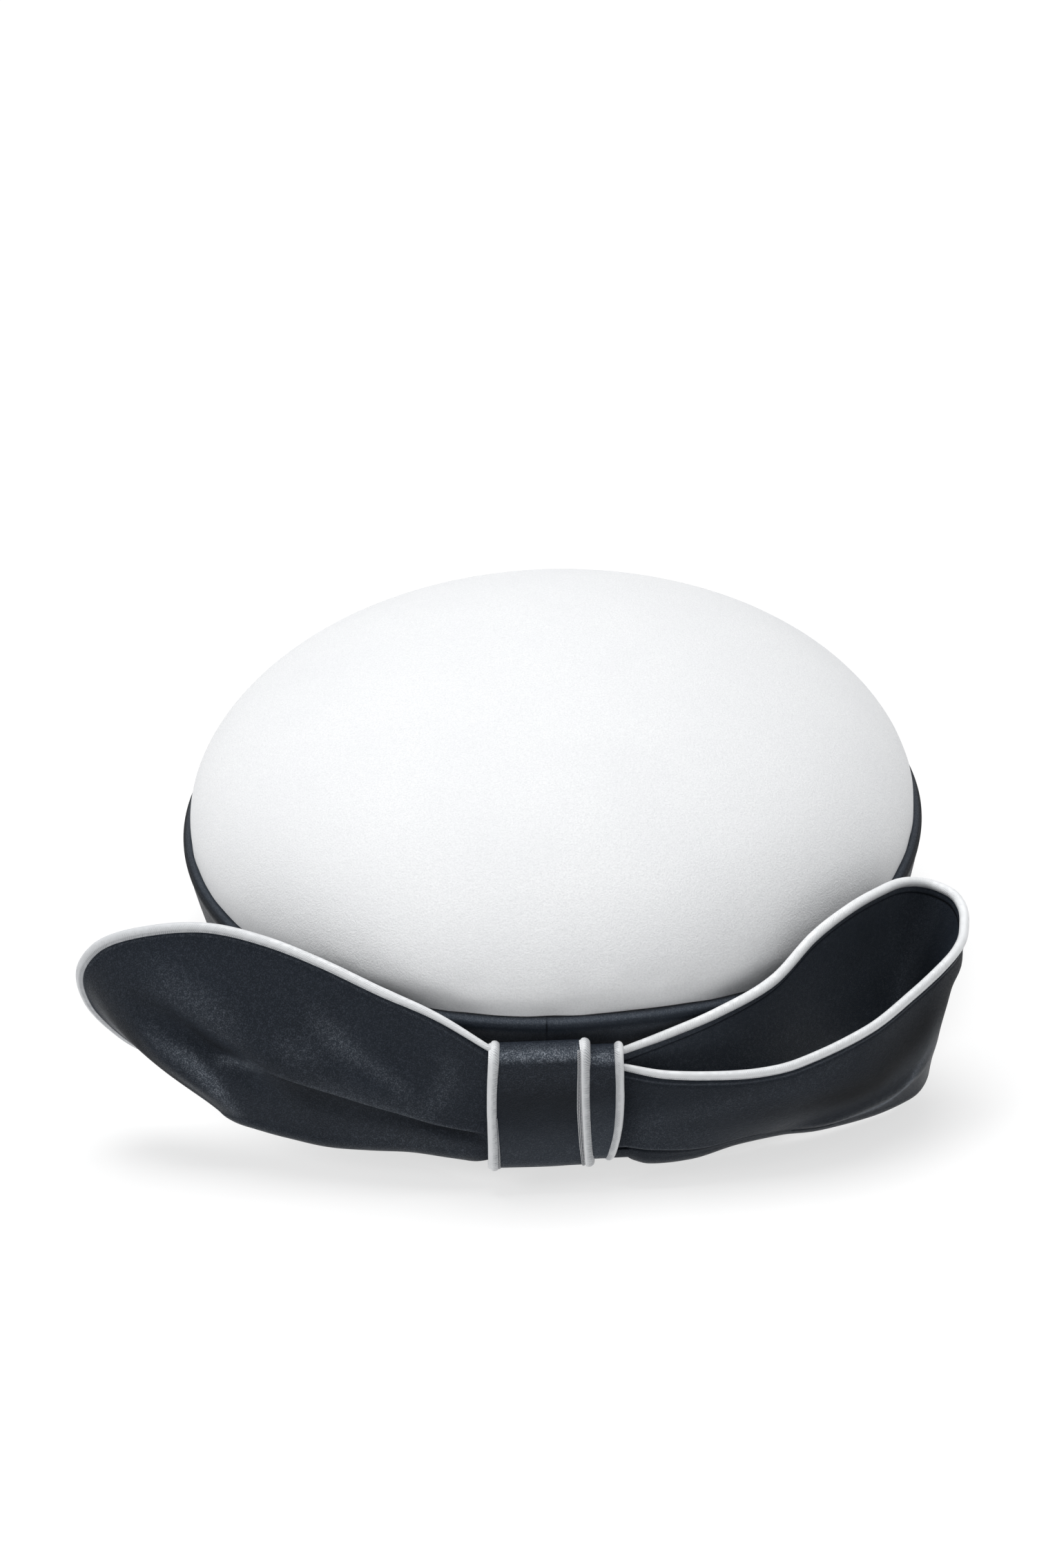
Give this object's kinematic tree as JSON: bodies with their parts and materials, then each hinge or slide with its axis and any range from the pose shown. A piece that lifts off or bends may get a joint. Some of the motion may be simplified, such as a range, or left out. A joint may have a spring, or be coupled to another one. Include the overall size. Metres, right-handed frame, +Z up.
{
  "type": "pillbox hat",
  "caption": "Pillbox hat with a pale domed crown, a dark side band and a dark bow edged with white piping on its front.",
  "frame": {"origin": "middle of the head opening, in the plane of the rim that the hat rests on", "axes": "+Z up towards the crown, -Y towards the front with the bow, +X to the right as seen from the front, along the bow"},
  "size_m": [0.2299, 0.2208, 0.0948],
  "materials": {
    "crown_satin": "pale matt satin",
    "dark_satin": "dark blue-black satin with a soft sheen",
    "white_piping": "white satin bias cord"
  },
  "bodies": {
    "root": {"crown": "crown_satin", "side_band": "dark_satin", "bow_loop_left": "dark_satin", "bow_loop_right": "dark_satin", "loop_piping_left": "white_piping", "loop_piping_right": "white_piping", "knot_wrap": "dark_satin", "knot_under_wrap": "dark_satin", "knot_piping_left": "white_piping", "knot_piping_middle": "white_piping", "knot_piping_right": "white_piping"}
  },
  "joints": []
}
